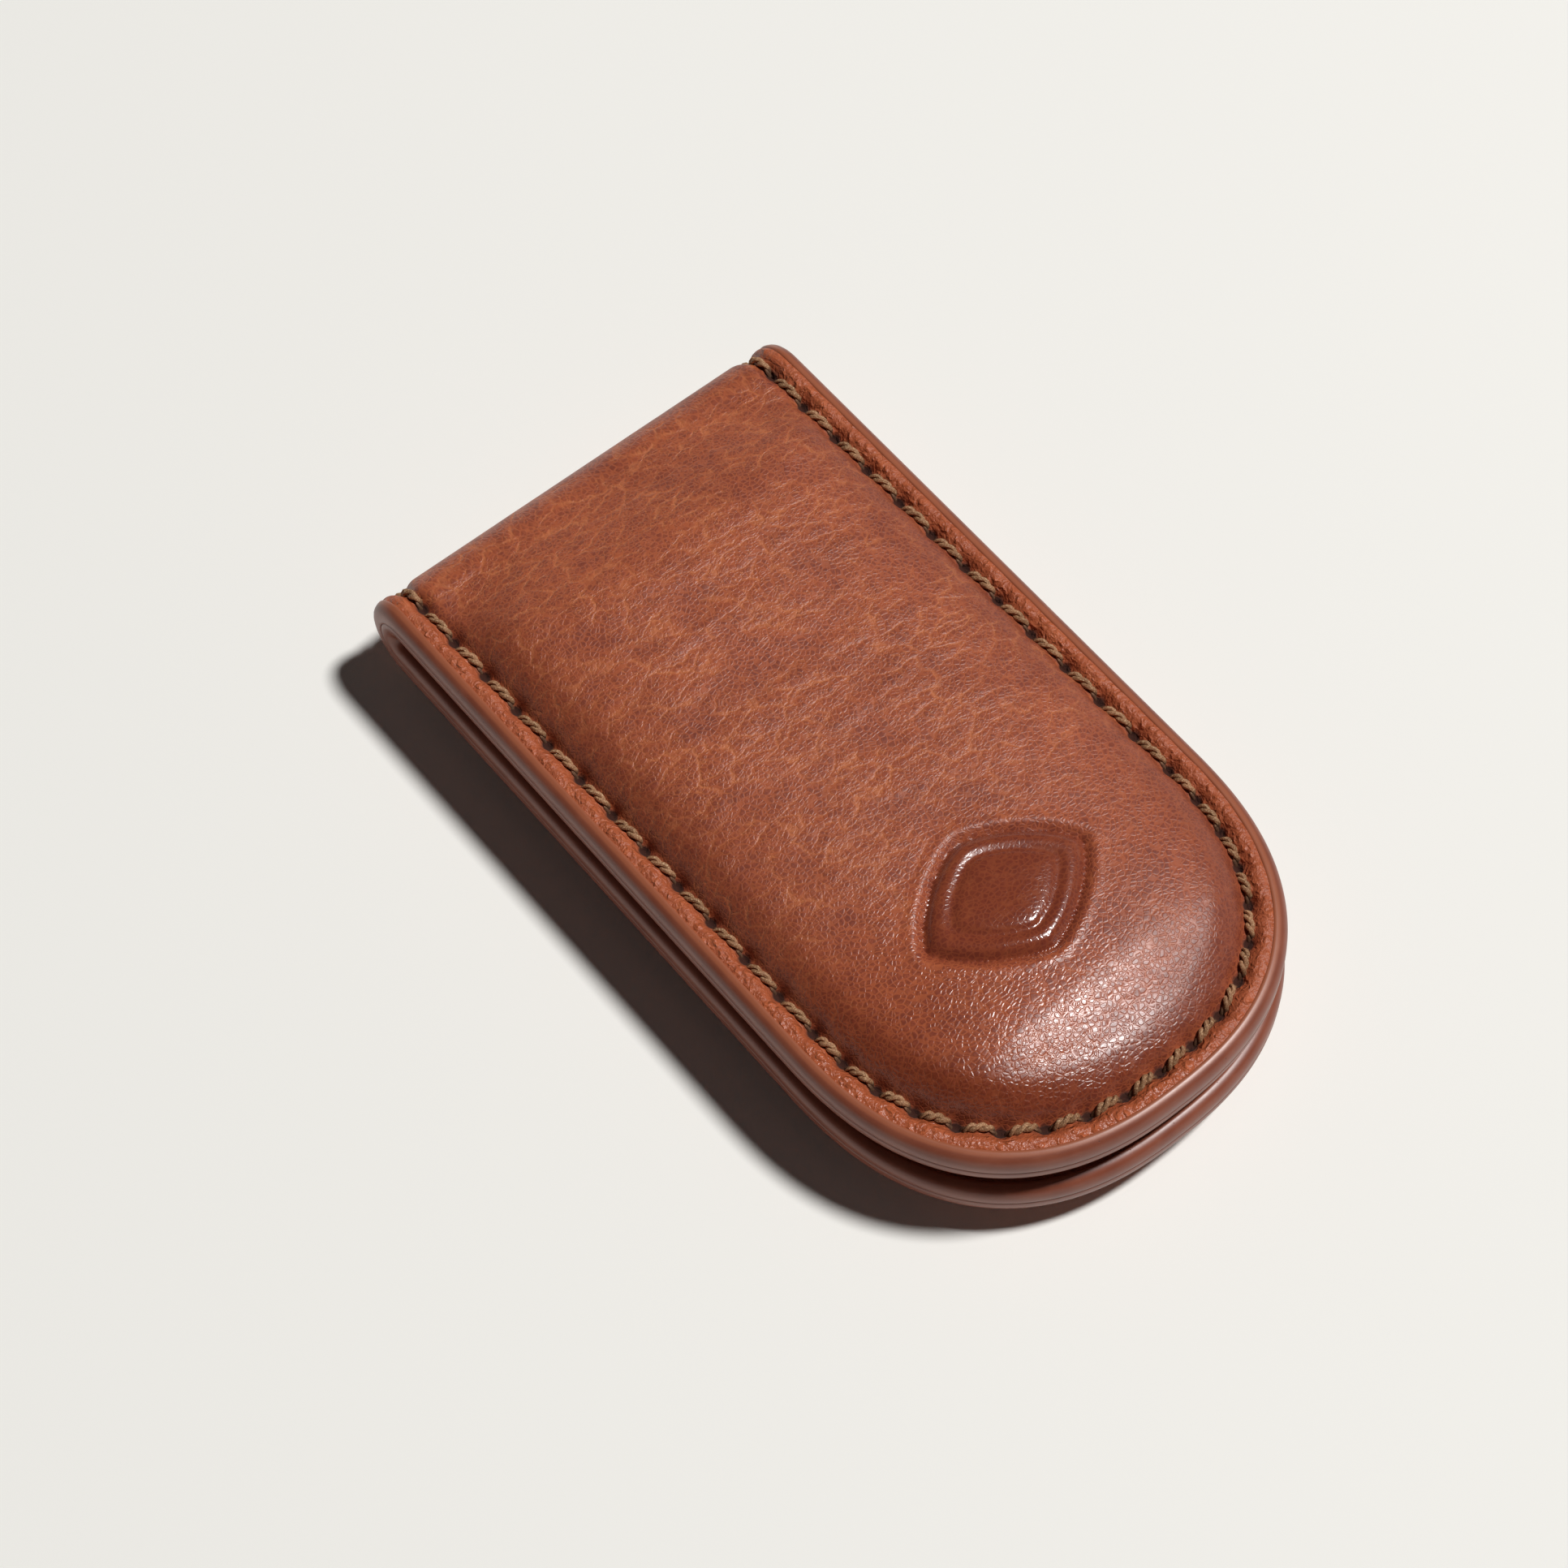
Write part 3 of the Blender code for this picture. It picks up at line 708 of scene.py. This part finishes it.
def stitch_row_tree():
    """Lays one twisted stitch on each point, turned and stretched by the point's own values."""
    tree = bpy.data.node_groups.new("stitch_row", "GeometryNodeTree")
    tree.interface.new_socket("Geometry", in_out="INPUT", socket_type="NodeSocketGeometry")
    for name in ("Thread radius", "Stitch length", "Turns", "End drop", "Slant", "Roll"):
        tree.interface.new_socket(name, in_out="INPUT", socket_type="NodeSocketFloat")
    tree.interface.new_socket("Thread", in_out="INPUT", socket_type="NodeSocketMaterial")
    tree.interface.new_socket("Geometry", in_out="OUTPUT", socket_type="NodeSocketGeometry")
    pen = Wire(tree)
    source = tree.nodes.new("NodeGroupInput")
    given = {socket.name: Wire(tree, socket) for socket in source.outputs if socket.name}
    radius, length = given["Thread radius"], given["Stitch length"]
    helix = {"Resolution": 9, "Rotations": given["Turns"], "Start Radius": radius * ply_offset}
    helix.update({"End Radius": radius * ply_offset, "Height": length})
    path = pen.node("GeometryNodeCurveSpiral", {}, helix)
    circle = {"Resolution": ply_sides, "Radius": radius * ply_radius}
    ring = pen.node("GeometryNodeCurvePrimitiveCircle", {}, circle)
    swept = {"Curve": path, "Profile Curve": ring, "Fill Caps": True}
    ply = pen.node("GeometryNodeCurveToMesh", {}, swept)
    back = pen.node("ShaderNodeCombineXYZ", {}, {0: length * -0.5})
    turned = {"Geometry": ply, "Rotation": (0, math.pi / 2, 0), "Translation": back}
    first = pen.node("GeometryNodeTransform", {}, turned)
    second = pen.node("GeometryNodeTransform", {}, {"Geometry": first, "Rotation": (math.pi, 0, 0)})
    plies = pen.node("GeometryNodeJoinGeometry", {}, {"Geometry": [first, second]})
    spot = pen.node("GeometryNodeInputPosition")
    along, across, up = [part_of(pen, spot, axis) for axis in "XYZ"]
    end = abs(along) / (length * 0.5)
    slim = 1 - 0.40 * end ** 4.0
    drop = given["End drop"] * end ** 3.0
    moved = pen.node("ShaderNodeCombineXYZ", {}, {0: along, 1: across * slim, 2: up * slim - drop})
    stitch = pen.node("GeometryNodeSetPosition", {}, {"Geometry": plies, "Position": moved})
    named = {"data_type": "FLOAT"}
    heading = pen.node("GeometryNodeInputNamedAttribute", named, {"Name": "heading"}, "Attribute")
    span = pen.node("GeometryNodeInputNamedAttribute", named, {"Name": "span"}, "Attribute")
    chance = {"data_type": "FLOAT"}
    tilt = pen.node("FunctionNodeRandomValue", chance, {2: -0.05, 3: 0.05, "Seed": 4}, 1)
    fat = pen.node("FunctionNodeRandomValue", chance, {2: 0.93, 3: 1.06, "Seed": 9}, 1)
    heading = heading + given["Slant"] + tilt
    angles = pen.node("ShaderNodeCombineXYZ", {}, {0: given["Roll"], 2: heading})
    facing = pen.node("FunctionNodeEulerToRotation", {}, {0: angles})
    sizes = pen.node("ShaderNodeCombineXYZ", {}, {0: span / length, 1: fat, 2: fat})
    laid = {"Points": given["Geometry"], "Instance": stitch, "Rotation": facing, "Scale": sizes}
    row = pen.node("GeometryNodeInstanceOnPoints", {}, laid)
    row = pen.node("GeometryNodeRealizeInstances", {}, {"Geometry": row})
    row = pen.node("GeometryNodeSetMaterial", {}, {"Geometry": row, "Material": given["Thread"]})
    pen.node("NodeGroupOutput", {}, {"Geometry": row})
    return tree


def khaki_thread(pen):
    """Waxed thread: pale fibres with painted glints, painted shade between them and where it dives into its
    holes.
    """
    flat = stored(pen, "laid_flat")
    fibre = noise(pen, flat, 9.0, 4.0, 0.7)
    tone = noise(pen, flat, 0.5, 2.0)
    colour = tone.eased(0.35, 0.65).tint(rgb(138, 95, 62), rgb(168, 120, 84))
    # Painted glints on the fibres.
    colour = (fibre.eased(0.50, 0.70) * 0.8).tint(colour, rgb(226, 196, 152))
    # Painted shade between the fibres.
    colour = (fibre.eased(0.50, 0.28) * 0.7).tint(colour, rgb(54, 38, 24))
    depth = abs(part_of(pen, flat, "Z"))
    # Painted shade where the thread dives down into its holes.
    colour = (depth.eased(1.22, 0.80) * 0.85).tint(colour, rgb(64, 36, 20))
    fuzz = bumped(pen, fibre, 0.00005, 0.6)
    return {"Base Color": colour, "Roughness": 0.6 + 0.2 * fibre, "Normal": fuzz}


thread_finish = new_finish("khaki_thread", khaki_thread, IOR=1.5)
stitch_rows = stitch_row_tree()


def sew(name, runs, height, **sizes):
    """A row of stitches between the holes of each run, sewn flat and then folded."""
    start = np.concatenate([run[:-1] for run in runs])
    end = np.concatenate([run[1:] for run in runs])
    step = end - start
    mesh = bpy.data.meshes.new(name)
    middles = np.column_stack(((start + end) / 2, np.full(len(start), height)))
    mesh.from_pydata(middles.tolist(), [], [])
    row = bpy.data.objects.new(name, mesh)
    bpy.context.scene.collection.objects.link(row)
    keep_values(row, heading=np.arctan2(step[:, 1], step[:, 0]), span=np.hypot(*step.T))
    modifier = row.modifiers.new("stitches", "NODES")
    modifier.node_group = stitch_rows
    sizes = {"Stitch length": 3.8, "Turns": 2.0, "Thread": thread_finish, **sizes}
    for socket in stitch_rows.interface.items_tree:
        if socket.in_out == "INPUT" and socket.name in sizes:
            modifier[socket.identifier] = sizes[socket.name]
    graph = bpy.context.evaluated_depsgraph_get()
    made = bpy.data.meshes.new_from_object(row.evaluated_get(graph), depsgraph=graph)
    row.modifiers.remove(modifier)
    row.data = made
    for layer in [layer.name for layer in made.attributes if layer.name in ("heading", "span")]:
        made.attributes.remove(made.attributes[layer])
    outward(made)
    return fold(row)


needle_depth = 0.22
bobbin_depth = 0.26
seams = {
    "needle": (
        half_glue + cover_thickness - needle_depth,
        bend_radius + half_glue,
        {"Thread radius": 0.34, "End drop": 1.75, "Slant": 0.14, "Roll": 0.0},
    ),
    "bobbin": (
        -half_glue - lining_thickness + bobbin_depth,
        bend_radius - half_glue - lining_thickness,
        {"Thread radius": 0.36, "End drop": 0.40, "Slant": 0.08, "Roll": math.pi},
    ),
}
seam_across = half_width - seam_inset
crossing = [
    np.array([(-body_split, place), (body_split, place)]) for place in (-seam_across, seam_across)
]
for kind, (height, inner_radius, sizes) in seams.items():
    for part in ("lower", "spine", "upper"):
        runs = crossing if part == "spine" else [holes[part]]
        piece = sew(f"{kind}_stitches_{part}", runs, height, **sizes)
        bend_with(piece, part, inner_radius)
        if part != "spine":
            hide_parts(f"{kind}_thread_{part}")
        elif kind == "needle":
            hands = ("left", "right")
            threads = [f"needle_thread_spine_{n}_{hand}" for n in (1, 2) for hand in hands]
            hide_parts(*threads)

# Boards, foam pads and magnets
# Inside each leaf a bonded leather board holds two nickel-plated magnet discs, and a foam pad on
# the board gives the panel its puff. They are glued in before sewing, and keep the CAD's shapes.


def board_fibre(pen):
    """Bonded leather board: pressed chips and fuzz."""
    where = pen.node("ShaderNodeTexCoord", {}, {}, "Object")
    chips = cells(pen, where, 900.0, "F1")
    fuzz = noise(pen, where, 2600.0, 4.0, 0.6)
    colour = chips.eased(0.2, 0.8).tint(rgb(150, 122, 92), rgb(112, 84, 58))
    colour = (fuzz.eased(0.5, 0.7) * 0.5).tint(colour, rgb(176, 150, 118))
    relief = bumped(pen, chips + fuzz, 0.00006)
    return {"Base Color": colour, "Roughness": 0.82 + 0.1 * fuzz, "Normal": relief}


def foam_cells(pen):
    """Dark closed-cell foam."""
    where = pen.node("ShaderNodeTexCoord", {}, {}, "Object")
    bubbles = cells(pen, where, 2200.0, "F1")
    drift = noise(pen, where, 300.0, 3.0)
    colour = bubbles.eased(0.2, 0.7).tint(rgb(58, 58, 62), rgb(92, 92, 96))
    colour = (drift.eased(0.45, 0.7) * 0.3).tint(colour, rgb(110, 110, 112))
    relief = bumped(pen, bubbles, 0.00008)
    return {"Base Color": colour, "Roughness": 0.9 + 0.05 * drift, "Normal": relief}


def nickel_plate(pen):
    """Nickel plate with a faint brushed line."""
    where = pen.node("ShaderNodeTexCoord", {}, {}, "Object")
    brushed = noise(pen, stretched(pen, where, (40.0, 900.0, 900.0)), 3.0, 4.0, 0.7)
    spots = noise(pen, where, 500.0, 3.0)
    colour = spots.eased(0.4, 0.7).tint(rgb(212, 208, 198), rgb(188, 184, 176))
    relief = bumped(pen, brushed, 0.000004)
    return {"Base Color": colour, "Roughness": 0.2 + 0.15 * brushed, "Normal": relief}


board_finish = new_finish("bonded_board", board_fibre)
foam_finish = new_finish("closed_cell_foam", foam_cells)
nickel_finish = new_finish("nickel_plate", nickel_plate, Metallic=1.0)
for leaf in ("lower", "upper"):
    inside = {f"{leaf}_board": board_finish, f"{leaf}_foam_pad": foam_finish}
    inside.update({f"{leaf}_{hand}_magnet": nickel_finish for hand in ("left", "right")})
    for node, finish in inside.items():
        mesh = frame["nodes"][node].data
        mesh.materials.clear()
        mesh.materials.append(finish)

# Table, light and camera
# A plain warm white table under one high, soft key light from behind the right side. The ceiling
# is dark and the walls are pale, so the shadow stays deep and the edges still have a reflection.


def table_top(pen):
    """Warm white with a barely changing tone."""
    where = pen.node("ShaderNodeTexCoord", {}, {}, "Object")
    tone = noise(pen, where, 6.0, 3.0)
    colour = tone.tint(rgb(246, 245, 240), rgb(248, 247, 242))
    return {"Base Color": colour, "Roughness": 0.85 + 0.05 * tone}


bpy.ops.mesh.primitive_plane_add(size=6.0, location=(0, 0, 0))
table = bpy.context.object
table.name = "table_top"
table.data.materials.append(new_finish("warm_white_table", table_top, Specular_IOR_Level=0.2))

room = bpy.data.worlds.new("dark_ceiling_over_pale_walls")
room.use_nodes = True
room.node_tree.nodes.clear()
pen = Wire(room.node_tree)
ceiling_glow = 0.02
wall_glow = 0.62
upwards = part_of(pen, pen.node("ShaderNodeTexCoord", {}, {}, "Generated"), "Z")
glow = ceiling_glow + wall_glow * upwards.eased(0.30, 0.05)
background = pen.node("ShaderNodeBackground", {}, {"Strength": glow})
pen.node("ShaderNodeOutputWorld", {}, {"Surface": background})
bpy.context.scene.world = room

key_light = bpy.data.lights.new("key_light", "AREA")
key_light.shape = "DISK"
key_light.size = 0.30
key_light.energy = 39.6
key_light.color = (1.0, 0.992, 0.985)
lamp = bpy.data.objects.new("key_light", key_light)
lamp.location = (0.426, 0.768, 1.798)
aim = Vector((0, 0, 0.01)) - lamp.location
lamp.rotation_euler = aim.to_track_quat("-Z", "Y").to_euler()
bpy.context.scene.collection.objects.link(lamp)
bpy.context.scene.view_settings.view_transform = "Standard"
bpy.context.scene.view_settings.look = "None"

camera = bpy.data.objects.new("camera", bpy.data.cameras.new("camera"))
turn, tilt = math.radians(50.6), math.radians(60.1)
camera_distance = 0.300
camera_target = Vector((-0.0067, -0.0022, 0.0))
back = Vector((math.sin(turn) * math.cos(tilt), -math.cos(turn) * math.cos(tilt), math.sin(tilt)))
camera.location = camera_target + back * camera_distance
camera.rotation_euler = (-back).to_track_quat("-Z", "Y").to_euler()
camera.data.sensor_width = 36.0
camera.data.lens = 90.9
camera.data.clip_start = 0.01
bpy.context.scene.collection.objects.link(camera)
bpy.context.scene.camera = camera
